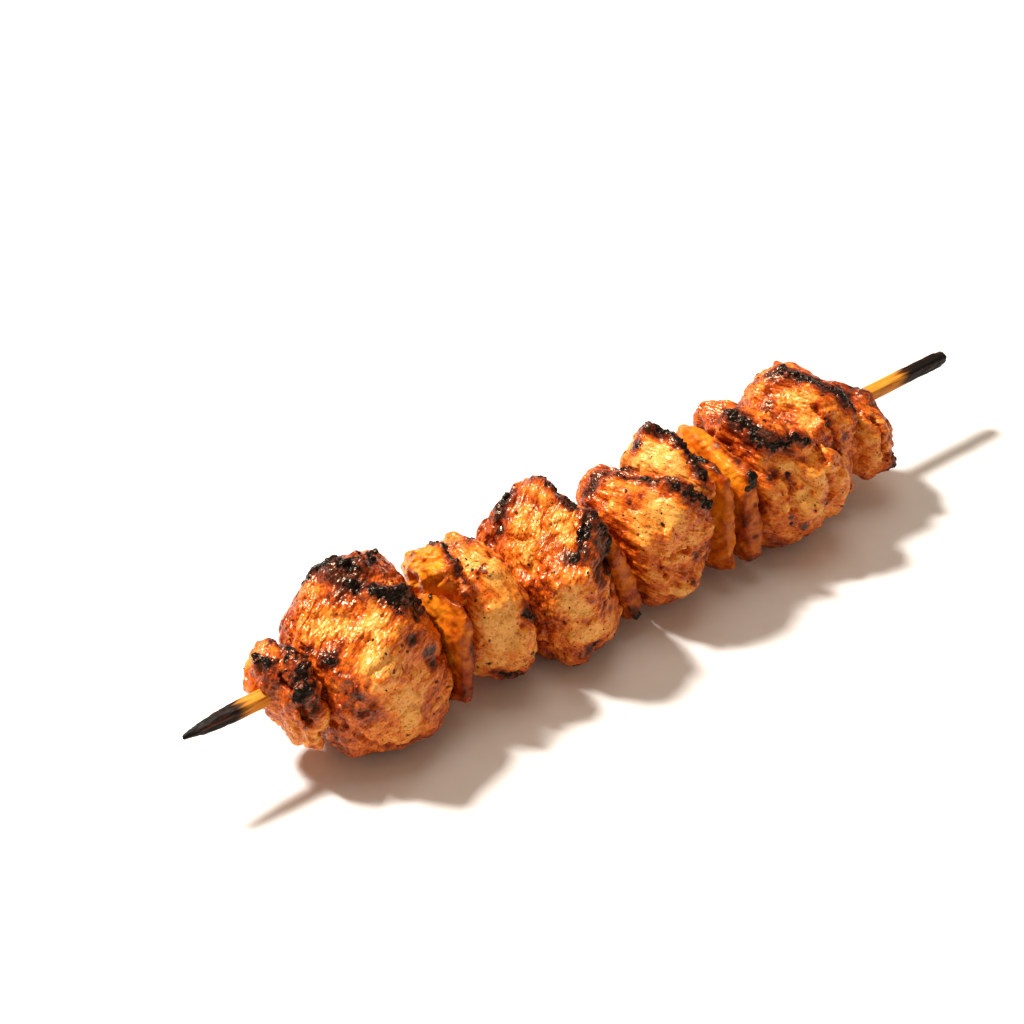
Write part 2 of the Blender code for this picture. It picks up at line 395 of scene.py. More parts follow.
def knife_cut(piece, around, lean, depth):
    """Slices depth in mm off the side that faces around, with the knife leaning towards the blunt end."""
    turn, tip = math.radians(around), math.radians(lean)
    outward = Vector((math.sin(tip), -math.cos(tip) * math.cos(turn), math.cos(tip) * math.sin(turn)))
    reach = max(vertex.co @ outward for vertex in piece.data.vertices)
    select_only(piece)
    bpy.ops.object.mode_set(mode="EDIT")
    bpy.ops.mesh.select_all(action="SELECT")
    cut_at = outward * (reach - depth * MM)
    bpy.ops.mesh.bisect(plane_co=cut_at, plane_no=outward, use_fill=True, clear_outer=True)
    bpy.ops.object.mode_set(mode="OBJECT")


def standing_out(piece, rounds):
    """How far, in mm, each point stands out of its surroundings, levelled this many times."""
    points, normals = points_of(piece), normals_of(piece)
    ends = np.empty(len(piece.data.edges) * 2, np.int32)
    piece.data.edges.foreach_get("vertices", ends)
    first, second = np.concatenate([ends.reshape(-1, 2), ends.reshape(-1, 2)[:, ::-1]]).T
    count = np.bincount(first, minlength=len(points))[:, None]
    level = points
    for _ in range(rounds):
        sums = [np.bincount(first, level[second, axis], len(points)) for axis in range(3)]
        level = np.stack(sums, axis=1) / count
    return ((points - level) * normals).sum(axis=1) / MM


def taken(piece, name):
    """The values kept under a name, which is then given up."""
    values = np.empty(len(piece.data.vertices), np.float32)
    piece.data.attributes[name].data.foreach_get("value", values)
    piece.data.attributes.remove(piece.data.attributes[name])
    return values.astype(float)


def set_on_table(piece):
    """Flattens whatever has swollen through the table top."""
    points = points_of(piece)
    points[:, 2] = np.maximum(points[:, 2], 0)
    piece.data.vertices.foreach_set("co", points.ravel())
    piece.data.update()


def flesh_block(node, name, cell, softening, pressed_out, cuts=()):
    piece = copy_of(node, name)
    fill_stick_hole(piece)
    for cut in cuts:
        knife_cut(piece, *cut)
    apply_modifier(piece, "REMESH", mode="VOXEL", voxel_size=cell)
    apply_modifier(piece, "SMOOTH", factor=0.5, iterations=softening)
    store(piece, "edge", standing_out(piece, EDGE_ROUNDS))
    apply_modifier(piece, "SUBSURF", levels=2, render_levels=2)
    apply_modifier(piece, "DISPLACE", strength=pressed_out, mid_level=0)
    return piece


def grilled_flesh(name, grain):
    """Moist cooked meat whose finest fibres run along the grain."""
    finish = Finish(name)
    tone = finish.value("tone")
    char = finish.value("char")
    relief = finish.value("relief")
    wet = finish.value("wet")
    strands = finish.add("Mapping", Vector=finish.place)
    strands.vector_type = "TEXTURE"
    strands.inputs["Rotation"].default_value = (0, math.radians(grain[1]), math.radians(grain[0]))
    strands.inputs["Scale"].default_value = (FIBRE_STRETCH, 1, 1)
    strands = strands.outputs["Vector"]
    fibre = finish.noise(0.50 * MM, 4, 0.62, 0.8, strands)
    streaks = finish.noise(1.3 * MM, 4, 0.60, 0.7, strands)
    patches = finish.noise(4.6 * MM, 5, 0.60, 0.6)
    crumbs = finish.noise(0.95 * MM, 4, 0.65)
    ripples = finish.noise(0.95 * MM, 1, 0.5, 0.6, strands)
    pimples = finish.noise(0.75 * MM, 1, 0.5)
    grains = finish.noise(0.42 * MM, 2, 0.6)
    mottles = ((patches, 1.20), (streaks, 0.75), (crumbs, 0.45), (fibre, 0.32), (grains, 0.40))
    for pattern, amount in mottles:
        tone = finish.sums("MULTIPLY_ADD", pattern, amount, finish.sums("ADD", tone, -amount / 2))
    # Raised parts of the relief paler and its hollows darker: partly marinade pooled in the hollows, partly
    # a painted highlight on the ridges and painted shade in the hollows.
    tone = finish.sums("MULTIPLY_ADD", relief, -0.17, tone)
    browned = finish.ramp(tone, [
        (0.05, PALE_CREAM), (0.28, GOLD), (0.50, PAPRIKA), (0.76, ROAST), (1.0, SCORCHED),
    ])
    dust = finish.span(finish.noise(0.70 * MM, 2, 0.5, 0.8), 0.60, 0.66)
    browned = finish.blend(finish.sums("MULTIPLY", dust, 0.70), browned, ROAST)
    for pattern, amount in ((streaks, 0.5), (patches, 0.5), (crumbs, 1.1)):
        char = finish.sums("MULTIPLY_ADD", pattern, amount, finish.sums("ADD", char, -amount / 2))
    burnt = finish.span(char, 0.44, 0.62)
    singed = finish.span(char, 0.02, 0.48)
    colour = finish.blend(singed, browned, finish.blend(0.80, browned, (0.13, 0.014, 0.006)))
    soot = finish.ramp(crumbs, [
        (0.45, SOOT), (0.62, (0.012, 0.005, 0.005)), (0.72, (0.070, 0.013, 0.007)),
    ])
    colour = finish.blend(burnt, colour, soot)
    finish.feed(finish.shader.inputs["Base Color"], colour)
    gloss = finish.sums("MULTIPLY_ADD", wet, -0.14, finish.span(patches, 0.3, 0.7, 0.27, 0.36))
    finish.feed(finish.shader.inputs["Roughness"], gloss)
    finish.feed(finish.shader.inputs["Specular IOR Level"], finish.span(burnt, 0, 1, 0.55, 0.20))
    finish.shader.inputs["Specular Tint"].default_value = (1.0, 0.78, 0.50, 1)
    rippled = finish.bump(ripples, RIPPLE_DEPTH)
    finish.feed(finish.shader.inputs["Normal"], finish.bump(pimples, PIMPLE_DEPTH, rippled))
    finish.shader.inputs["Subsurface Weight"].default_value = 0.12
    finish.shader.inputs["Subsurface Radius"].default_value = (1.0, 0.30, 0.08)
    finish.shader.inputs["Subsurface Scale"].default_value = 1.5 * MM
    return finish.material


def grilled_chicken(node, shift, grain, base=0.34, cuts=(), char=(), burn=(), pale=(), crinkle=(),
                    crease=(), swell=()):
    """Builds one piece of chicken round its CAD solid and hands it to the frame.

    shift makes its chance patterns its own, grain is the (turn, lean) of its muscle fibres in degrees, and
    base is how far the whole piece is browned. cuts are knife cuts, swell its swellings, the rest marks.
    """
    piece = flesh_block(node, "grilled_" + node, FLESH_CELL, FLESH_SMOOTHING, PRESSED_OUT, cuts)
    tree = BVHTree.FromObject(piece, bpy.context.evaluated_depsgraph_get())
    edges = taken(piece, "edge")
    weigh(piece, "swell", raised(points_of(piece), tree, swell) / TALLEST_SWELL)
    apply_modifier(piece, "DISPLACE", strength=TALLEST_SWELL * MM, mid_level=0, vertex_group="swell")
    muscles = texture("CLOUDS", MUSCLE_SIZE, noise_depth=1, noise_type="HARD_NOISE")
    roughen(piece, muscles, MUSCLE_HEIGHT, 0.4)
    apply_modifier(piece, "SMOOTH", factor=0.5, iterations=FLESH_SMOOTHING)

    points, normals = points_of(piece), normals_of(piece)
    tree = BVHTree.FromObject(piece, bpy.context.evaluated_depsgraph_get())
    ragged = cloud(points, 2.2 * MM, shift) * 0.6
    soft_edge = cloud(points, 4.5 * MM, shift + 1) * 0.35
    broken = 0.68 + 0.32 * smooth_step(cloud(points, 3 * MM, shift + 5), -0.35, 0.10)
    char_marks = brushed(points, tree, char, ragged) * broken
    round_char = [(width * 1.6 + 1.4, *stations) for width, *stations in char]
    halo = brushed(points, tree, round_char, soft_edge)
    burn_marks = brushed(points, tree, burn, soft_edge)
    pale_marks = brushed(points, tree, pale, soft_edge)
    crinkle_marks = brushed(points, tree, crinkle, soft_edge)
    tops = smooth_step(normals[:, 2], -0.1, 0.9)
    behind = smooth_step(normals[:, 1], 0.1, 0.9)
    rims = smooth_step(edges, 0.8, 2.2) * smooth_step(normals[:, 2], -0.5, 0.5)
    wet = np.clip(crinkle_marks + 0.45 * tops - 0.7 * pale_marks, 0, 1)
    wet -= 1.3 * smooth_step(-normals[:, 2], -0.1, 0.6)

    weigh(piece, "charred", smooth_step(char_marks, 0.15, 0.6))
    weigh(piece, "crinkle", np.clip(crinkle_marks + 0.25 * tops - 0.3 * pale_marks, 0, 1))
    weigh(piece, "crease", brushed(points, tree, crease, ragged))
    weigh(piece, "plain", 1 - 0.6 * pale_marks)
    apply_modifier(piece, "DISPLACE", strength=-CREASE_DEPTH, mid_level=0, vertex_group="crease")
    fold_grain = stretched(*grain, FOLD_STRETCH)
    crinkle_grain = stretched(grain[0] + 8, grain[1], CRINKLE_STRETCH)
    lumps = texture("CLOUDS", LUMP_SIZE, noise_depth=1)
    folds = texture("CLOUDS", FOLD_SIZE, noise_depth=2)
    crinkles = texture("CLOUDS", CRINKLE_SIZE, noise_depth=2, noise_type="HARD_NOISE")
    crust = texture("CLOUDS", CRUST_SIZE, noise_depth=2, noise_type="HARD_NOISE")
    blisters = texture("VORONOI", BLISTER_SIZE)
    roughen(piece, lumps, LUMP_HEIGHT, within="plain")
    roughen(piece, folds, FOLD_HEIGHT, along=fold_grain, within="plain")
    roughen(piece, crinkles, CRINKLE_HEIGHT, 0.35, crinkle_grain, "crinkle")
    roughen(piece, crust, CRUST_HEIGHT, 0.3, within="charred")
    roughen(piece, blisters, -BLISTER_HEIGHT, 0.9, within="charred")

    relief = ((points_of(piece) - points) * normals).sum(axis=1) / MM
    # Darker towards the table: partly a darker crust on the undersides, partly painted shade under the
    # chunks.
    uneven = 4 * MM * cloud(points, 5 * MM, shift + 4)
    crust_and_painted_shade_near_table = smooth_step(13 * MM - points[:, 2] + uneven, 0, 12 * MM)
    # Darker where the surface lies further in than most of the chunk, on end faces and in the gaps between
    # chunks: painted shade.
    away = np.hypot(points[:, 1] - STICK_MIDDLE.y, points[:, 2] - STICK_MIDDLE.z)
    painted_shade_between_chunks = smooth_step(np.percentile(away, 80) - away, 2 * MM, 7 * MM)
    # Darker in the hollows of the solid: painted shade.
    painted_shade_in_hollows = smooth_step(-edges, 0.2, 1.0)
    chance = cloud(points, 6 * MM, shift + 2)
    chance_char = smooth_step(chance, 0.25, 0.55) * behind
    rim_char = rims * smooth_step(chance, -0.15, 0.35) * smooth_step(normals[:, 2], 0.4, 0.9)
    # How far each point is browned, with the painted shade near the table, in hollows and between chunks
    # added in.
    browning_and_painted_shade = (
        (0.05, tops), (0.08, behind), (0.50, burn_marks), (-0.34, pale_marks), (0.42, crust_and_painted_shade_near_table),
        (0.22, rims), (0.25, painted_shade_in_hollows), (0.26, painted_shade_between_chunks), (-0.14, crinkle_marks), (0.42, halo),
        (0.18, cloud(points, 7 * MM, shift + 3)),
    )
    store(piece, "tone", base + sum(amount * where for amount, where in browning_and_painted_shade))
    store(piece, "char", np.maximum(char_marks, 0.62 * np.maximum(chance_char, rim_char)))
    store(piece, "relief", relief)
    store(piece, "wet", wet)
    set_on_table(piece)
    piece.data.shade_smooth()
    piece.data.materials.append(grilled_flesh(node + " flesh", grain))
    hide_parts(node)
    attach(piece, "root")
    return piece


# ---- chicken_1: a small knuckle of thigh at the near end, its top burnt to a black cap ---------------
# It is threaded by its corner, so it looks small beside the next chunk. A thick black crust has bubbled up
# on the side that met the flame, and the rest is browned meat with a few drops of burnt marinade.

chicken_pieces = [grilled_chicken(
    "chicken_1", 1, (25, -15), 0.30,
    cuts=[(120, -55, 2.0)],
    char=[(5.2, (-93.4, 80), (-96, 55), (-97, 28)), (2.2, (-101.4, 121), (-100, 98))],
    burn=[
        (5, (-96, 15), (-97, -5)), (1.3, (-98.5, -21)), (1.2, (-98, -40)), (3.5, (-96, 140), (-94, 110)),
    ],
    swell=[
        (1.6, 5, (-94, 75), (-96, 35)), (2.2, 4, (-97, -38)), (1.8, 3, (-101, 120)), (1.5, 3, (-99, -10)),
    ],
    crease=[(1.3, (-98.5, 10), (-98, -15)), (1.2, (-95, -25), (-93, -50)), (1.2, (-99, 70), (-99, 40))],
)]

# ---- chicken_2: the largest chunk, a folded thigh with a burnt ridge over its top --------------------
# A whole small thigh, folded over the stick. Its top is shredded and glossy, its front smooth and pale, and
# the ridge that stood nearest the flame has burnt in two patches.

chicken_pieces.append(grilled_chicken(
    "chicken_2", 2, (20, -12), 0.34,
    cuts=[(78, -32, 4.0), (20, 20, 2.0), (70, 45, 3.0)],
    char=[
        (5.2, (-80, 135), (-76, 119), (-72.7, 107), (-68, 112)), (3.0, (-63, 122), (-66, 113)),
        (3.8, (-76, 96), (-72, 82), (-70, 67), (-65, 71), (-61, 64)), (1.4, (-89, 55), (-88, 50)),
        (1.1, (-70, 36)), (1.0, (-67, 22)), (1.3, (-66, 50)), (1.0, (-87, 17)), (0.9, (-66, 8)),
    ],
    burn=[
        (6, (-80, 140), (-74, 100), (-68, 75), (-62, 66)), (5, (-85, -5)), (2.4, (-88, 52), (-85, 60)),
        (2.8, (-70, 36)), (1.8, (-67, 22)), (1.2, (-87, 47)), (1.0, (-87, 17)), (2, (-65, 22)),
        (3, (-66, 50)), (2.5, (-90, 90)),
    ],
    pale=[
        (7, (-81, 28), (-83, 42)), (6, (-76, -15), (-77, 2)), (4, (-71, 12)),
        (6, (-87, 100), (-82, 80), (-77, 62)), (3, (-72, 92), (-66, 88)),
    ],
    crinkle=[(10, (-88, 110), (-84, 85), (-80, 72)), (6, (-70, 95), (-66, 85)), (4, (-62, 80))],
    crease=[(1.8, (-91, -15), (-84, -34), (-74, -36))],
    swell=[
        (2.5, 6, (-78, 130), (-72, 105)), (1.5, 7, (-82, 25)), (2.5, 4, (-74, 80), (-66, 70)),
        (1.5, 4, (-74, -20)),
    ],
))

# ---- chicken_3: a smooth pale wedge of breast --------------------------------------------------------
# Lean breast, cut straight across its fibres, so it is smooth and pale, with specks and a few scorched
# corners. It leans on the wrinkled slice of pepper.

chicken_pieces.append(grilled_chicken(
    "chicken_3", 3, (-73, 30), 0.24,
    cuts=[(55, -25, 1.5), (85, 15, 1.2)],
    char=[
        (1.4, (-36, 118), (-38, 110)), (1.6, (-45, -42), (-39, -44)), (1.2, (-42.4, 65), (-44.7, 62)),
        (2.1, (-37.5, 14), (-36, 4)), (1.9, (-35, -10), (-34.5, -22)),
    ],
    burn=[
        (1.4, (-38, 79)), (1.4, (-42.4, 65), (-44.7, 62)), (1.8, (-35, -10)), (1.3, (-40, 6)),
        (3, (-36, 100)), (3.2, (-37, 20), (-35, 0)),
        (1.8, (-37.5, 12), (-36, 4)), (1.5, (-40.5, -10)), (2.5, (-34.5, -28)), (3, (-36, 30)),
    ],
    pale=[(7, (-45, 25), (-43, -5)), (6, (-43, 75), (-41, 45))],
    swell=[(1.5, 5, (-41, 60)), (1.5, 5, (-41, -10))],
))

# ---- chicken_4: a square chunk with a scorched ridge and shredded, shiny top -------------------------
# Thigh, cut square. Its fibres have opened on top and hold the oil. The edge towards the next slice of
# pepper has burnt along its whole length, and the face below it has gone red brown.

chicken_pieces.append(grilled_chicken(
    "chicken_4", 4, (31, -15), 0.34,
    cuts=[(78, -30, 4.5), (85, -62, 4.0), (25, 42, 4.0)],
    char=[
        (2.6, (-22, 128), (-24, 122)), (3.4, (-14, 108), (-13, 85), (-12, 62), (-11, 46), (-9, 30)),
        (2.4, (-16, 52), (-19, 44), (-22, 36)), (1.3, (-20, -28)), (1.8, (-12, 125)),
    ],
    burn=[
        (3.5, (-14, 85), (-13, 50), (-15, 34), (-17, 18)), (5, (-18, 36), (-18, 14)), (2.4, (-24, -6)),
        (2.4, (-17, 0)), (2.2, (-18.7, -8)), (1.8, (-14.5, -10)), (1.6, (-22, 8)), (1.3, (-29, -23)),
        (6, (-15, 38), (-12, 15)), (2.5, (-25, 128), (-28, 120)),
        (3, (-12, -5)),
    ],
    pale=[
        (5, (-26, 15), (-22, -18)), (8, (-29, 62), (-24, 92)), (5, (-20, 52), (-18, 92)), (3, (-13, -15)),
    ],
    crinkle=[(9, (-28, 70), (-22, 82), (-18, 60)), (5, (-28, 40))],
    crease=[(1.0, (-17, 1), (-16.6, -2)), (1.0, (-18.6, -9), (-18.2, -12))],
    swell=[
        (3.5, 6, (-12, 55), (-11, 38)), (1.5, 5, (-16, 108)), (1.5, 6, (-22, -8)), (1.5, 5, (-12, 85)),
    ],
))

# ---- chicken_5: a thick chunk that folds over into a lower lobe --------------------------------------
# Thigh with its thin end folded under, which makes the lobe low in front. The edge of the fold has burnt on
# top, in broken patches.

chicken_pieces.append(grilled_chicken(
    "chicken_5", 5, (-56, 10), 0.34,
    cuts=[(62, -28, 3.5), (105, 10, 2.5)],
    char=[
        (1.5, (1, 107), (3, 104)), (2.0, (10, 100), (14, 104)),
        (1.4, (5, 92), (6, 86)), (1.5, (8.3, 72), (9.5, 66)), (3.4, (12.5, 54), (18, 33), (22, 26)),
        (1.1, (12, -20)), (1.1, (15, -8)),
    ],
    burn=[
        (4, (-1, 108), (3, 96)), (2.5, (5, 92), (9, 72), (12, 58)), (1.2, (7.6, 70)), (1.2, (14.7, 56)),
        (1.1, (2.2, 57)), (1.1, (3.2, 72)),
        (3.5, (20, -5), (20, -18)), (3, (12, 55), (22, 28)), (1.3, (12, -20)),
    ],
    pale=[(6, (7, 48), (9, 30)), (5, (9, -22)), (6, (0, 62), (1, 25)), (5, (2, 82), (8, 66))],
    crinkle=[(5, (4, 90), (8, 85)), (5, (14, 15), (10, 5))],
    crease=[(1.3, (3, 0), (5, -12)), (1.5, (5, 3), (12, 2)), (1.6, (12, 62), (20, 36), (24, 30))],
    swell=[(1.5, 6, (10, 40)), (3.0, 6, (11, -24)), (2.5, 4, (12, 55), (20, 28))],
))

# ---- chicken_6: a pale wedge leaning on the last one, scorched where it meets the peppers ------------
# A thin slice of breast. It was shaded by its neighbours, so only the edge that stands above them has
# burnt, and the rest has stayed cream and gold.

chicken_pieces.append(grilled_chicken(
    "chicken_6", 6, (-60, 15), 0.22,
    cuts=[(72, -30, 1.2)],
    char=[(2.4, (23, 118), (24, 104), (24, 84), (23, 60), (22, 46)), (1.6, (17, 114))],
    burn=[(3.5, (17, 118), (21.4, 108)), (4, (24.5, 100), (23, 52))],
    pale=[(7, (17, 60), (17, 88)), (5, (19, 47))],
    swell=[(2.0, 5, (20, 75)), (2.5, 4, (22, 112))],
))

# ---- chicken_7: a big glossy chunk, burnt along the edge that faces the peppers ----------------------
# Thigh, wet with oil all over. Its burnt edge is a thick crust, and small drops of marinade have scorched
# on the face below it.

chicken_pieces.append(grilled_chicken(
    "chicken_7", 7, (-58, 14), 0.33,
    cuts=[(98, -22, 3.5), (32, -10, 2.5)],
    char=[
        (3.2, (43, 95), (43, 72), (43.5, 53), (45, 44), (49, 43)), (2.0, (51, 45), (55, 38)),
        (1.2, (48.4, 66)), (1.4, (46.6, 95)), (1.2, (57, -9)), (1.4, (51.6, -24)), (1.1, (43, 22)),
        (1.1, (48, 19)),
    ],
    burn=[
        (3.4, (44, 92), (44, 58), (48, 44)), (1.3, (48, 19)), (1.3, (57, -9)), (1.6, (47, -14)),
        (1.8, (51.6, -24)),
        (1.3, (43, 22)), (1.5, (42.8, -11)), (4, (56, 60)), (3, (58, 34)), (1.2, (50, 8)), (1.2, (53, 2)),
        (1.4, (55, -22)), (2.6, (48, -20)), (2.0, (52, -8)), (1.8, (46, 2)),
    ],
    pale=[(6, (50, 2), (53, -14)), (6, (44, 30), (48, 22)), (4, (60, 60), (62, 40)), (4, (58, 10))],
    crinkle=[(7, (50, 75), (54, 60)), (5, (50, 55)), (4, (43, 35))],
    crease=[(1.8, (44, 26), (48, 12), (47, -8)), (1.5, (60, 50), (58, 20), (60, -10))],
    swell=[(2.5, 5, (44, 88), (45, 50)), (2.0, 6, (53, -10)), (2.5, 6, (64, 20), (64, -20))],
))

# ---- chicken_8: a chunk wrapped behind the last, with a black stripe down its far side ---------------
# Thigh rolled round the stick, tight against the last chunk. Its far edge caught the flame and is crusted
# black from back to front.

chicken_pieces.append(grilled_chicken(
    "chicken_8", 8, (-60, 15), 0.42,
    cuts=[(78, -32, 2.8), (8, 0, 4.5), (95, 30, 2.5)],
    char=[
        (3.0, (68, 112), (70, 98), (72, 84), (74, 70), (76, 55), (77, 45)), (1.5, (66, 116), (70, 118)),
    ],
    burn=[
        (6, (69, 112), (72, 88), (76, 55)), (1.8, (65.4, 16)), (1.8, (70, 0)), (3, (72, 20)), (2, (68, 40)),
    ],
    pale=[(5, (64, 52)), (5, (70, -15)), (5, (62, 92), (66, 72))],
    crinkle=[(7, (62, 95), (66, 75))],
    crease=[(1.3, (66, 60), (68, 30), (70, 0))],
))

# ---- chicken_9: the small end piece, shiny with oil --------------------------------------------------
# The last trimming, pushed up against the rolled chunk, with the stick coming out of its middle. It is
# small enough to be browned all round.

chicken_pieces.append(grilled_chicken(
    "chicken_9", 9, (-60, 15), 0.34,
    char=[(1.8, (82, 85), (81, 50)), (1.6, (88, 85)), (1.4, (90, -20), (88, -32))],
    burn=[(1.5, (88, -5)), (1.4, (87, -18)), (2, (82, 60)), (2, (90, 100)), (2, (84, 15))],
    crinkle=[(5, (85, 30))],
    crease=[(1.4, (84, 20), (86, -20))],
    swell=[(1.5, 4, (86, 10)), (1.5, 3, (88, -30))],
))


# ---- The peppers -------------------------------------------------------------------------------------
# Squares cut from the wall of an orange sweet pepper, threaded face to face with the meat. The heat has
# softened them, wrinkled their skin and singed the rims that stand out.

PEPPER_CELL = 0.9 * MM
PEPPER_SWELL = 0.05 * MM
BUCKLE_SIZE, BUCKLE_HEIGHT = 6 * MM, 2.4 * MM
WRINKLE_SIZE, WRINKLE_STRETCH = 2.4 * MM, 3
FINE_WRINKLE_SIZE, FINE_WRINKLE_STRETCH = 1.6 * MM, 5
SINGED_SIZE, SINGED_HEIGHT = 1.2 * MM, 1.0 * MM
RIM_FROM, RIM_TO = 12 * MM, 19 * MM  # from the stick's middle
PEPPER_GOLD = (0.80, 0.29, 0.015)
PEPPER_ORANGE = (0.68, 0.165, 0.006)
PEPPER_RED = (0.30, 0.035, 0.003)
PEPPER_SINGED = (0.06, 0.010, 0.005)


def pepper_flesh(name, tint):
    finish = Finish(name)
    tone = finish.sums("ADD", finish.value("tone"), tint)
    char = finish.value("char")
    patches = finish.noise(4.5 * MM, 4, 0.55, 0.4)
    flecks = finish.noise(1.0 * MM, 4, 0.6)
    tone = finish.sums("MULTIPLY_ADD", patches, 0.8, finish.sums("ADD", tone, -0.40))
    tone = finish.sums("MULTIPLY_ADD", flecks, 0.35, finish.sums("ADD", tone, -0.17))
    colour = finish.ramp(tone, [
        (0.10, PEPPER_GOLD), (0.42, PEPPER_ORANGE), (0.75, PEPPER_RED), (0.98, PEPPER_SINGED),
    ])
    char = finish.sums("MULTIPLY_ADD", flecks, 0.8, finish.sums("ADD", char, -0.40))
    colour = finish.blend(finish.span(char, 0.30, 0.55), colour, SOOT)
    finish.feed(finish.shader.inputs["Base Color"], colour)
    finish.feed(finish.shader.inputs["Roughness"], finish.span(flecks, 0.3, 0.7, 0.22, 0.40))
    finish.feed(finish.shader.inputs["Normal"], finish.bump(flecks, 0.16 * MM))
    finish.shader.inputs["Specular IOR Level"].default_value = 0.24
    finish.shader.inputs["Specular Tint"].default_value = (1.0, 0.80, 0.50, 1)
    finish.shader.inputs["Subsurface Weight"].default_value = 0.15
    finish.shader.inputs["Subsurface Radius"].default_value = (1.0, 0.3, 0.05)
    finish.shader.inputs["Subsurface Scale"].default_value = 1.2 * MM
    return finish.material


def pepper_slice(node, shift, tint=0.0, wrinkles=0.4, cuts=(), char=(), burn=(), pale=()):
    """Builds one slice of pepper. tint darkens all its colours, wrinkles is their height in mm."""
    piece = flesh_block(node, "grilled_" + node, PEPPER_CELL, 1, PEPPER_SWELL, cuts)
    edges = taken(piece, "edge")
    points = points_of(piece)
    tree = BVHTree.FromObject(piece, bpy.context.evaluated_depsgraph_get())
    ragged = cloud(points, 2.0 * MM, shift) * 0.4
    char_marks = brushed(points, tree, char, ragged)
    burn_marks = brushed(points, tree, burn, ragged)
    pale_marks = brushed(points, tree, pale, ragged)
    weigh(piece, "charred", smooth_step(char_marks, 0.2, 0.6))
    buckles = texture("CLOUDS", BUCKLE_SIZE, noise_depth=2)
    skin_wrinkles = texture("CLOUDS", WRINKLE_SIZE, noise_depth=1)
    fine_wrinkles = texture("CLOUDS", FINE_WRINKLE_SIZE, noise_depth=1, noise_type="HARD_NOISE")
    singed_skin = texture("VORONOI", SINGED_SIZE)
    roughen(piece, buckles, BUCKLE_HEIGHT)
    roughen(piece, skin_wrinkles, wrinkles * MM, along=stretched(80, 40, WRINKLE_STRETCH))
    roughen(piece, fine_wrinkles, 0.3 * wrinkles * MM, 0.35, stretched(100, 50, FINE_WRINKLE_STRETCH))
    roughen(piece, singed_skin, -SINGED_HEIGHT, 0.9, within="charred")
    away = np.hypot(points[:, 1] - STICK_MIDDLE.y, points[:, 2] - STICK_MIDDLE.z)
    rim = smooth_step(away, RIM_FROM, RIM_TO) + smooth_step(edges, 0.3, 1.2)
    tone = 0.22 + 0.26 * rim + 0.45 * burn_marks - 0.3 * pale_marks
    store(piece, "tone", tone + 0.2 * cloud(points, 4 * MM, shift))
    store(piece, "char", char_marks)
    set_on_table(piece)
    piece.data.shade_smooth()
    piece.data.materials.append(pepper_flesh(node + " skin", tint))
    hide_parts(node)
    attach(piece, "root")
    return piece


pepper_slice(
    "pepper_1", 11, 0.16, 0.6, cuts=[(5, 0, 3.5), (-70, 0, 3.0), (60, -70, 0.8)],
    char=[(1.5, (-57, 69))], burn=[(2, (-56, -46)), (3, (-54, 10), (-54, -20))],
)
pepper_slice(
    "pepper_2", 12, 0.06, 1.8, cuts=[(60, 0, 2.0), (140, 0, 3.0)],
    char=[(1.5, (-49, 110), (-49, 75))], burn=[(3, (-50, 125), (-49, 90), (-50, 60))],
    pale=[(5, (-54, 105), (-53, 85))],
)
pepper_slice(
    "pepper_3", 13, 0.15, 0.7, cuts=[(10, 0, 3.0), (-70, 0, 3.0), (60, 0, 3.5)],
    char=[(1.8, (-2.5, -40), (-1, -45))], burn=[(2.5, (-4, -36), (-1, -42))],
)
pepper_slice(
    "pepper_4", 14, 0.04, 0.5, cuts=[(12, 0, 4.0), (-70, 0, 3.5), (100, 0, 2.5), (30, -75, 0.8)],
    char=[(1.5, (28, 106), (28, 80), (28, 60))], burn=[(3, (28, 100), (28, 50))],
)
pepper_slice(
    "pepper_5", 15, 0.14, 0.6, cuts=[(8, 0, 3.5), (-75, 0, 3.5), (85, 0, 2.0), (30, -75, 1.0)],
    char=[(3.3, (36.5, 32), (36, 24))],
    burn=[(1.8, (36, 80), (36, 45)), (1.2, (37, 5)), (1.2, (36, -20))], pale=[(4, (33, 57), (33, 35))],
)


# ---- The specks --------------------------------------------------------------------------------------
# Cracked pepper, flakes of dried herb and crumbs of burnt marinade that stuck to the oil all over the meat.
# A grain is modelled and copied to random places, each copy crushed in its own way, and the copies are
# joined into one piece for each kind.

rng = random.Random(23)


def speck_finish(name, low, high):
    finish = Finish(name)
    colour = finish.ramp(finish.noise(1.5 * MM), [(0.35, low), (0.65, high)])
    finish.feed(finish.shader.inputs["Base Color"], colour)
    finish.shader.inputs["Roughness"].default_value = 0.45
    finish.shader.inputs["Specular IOR Level"].default_value = 0.2
    return finish.material


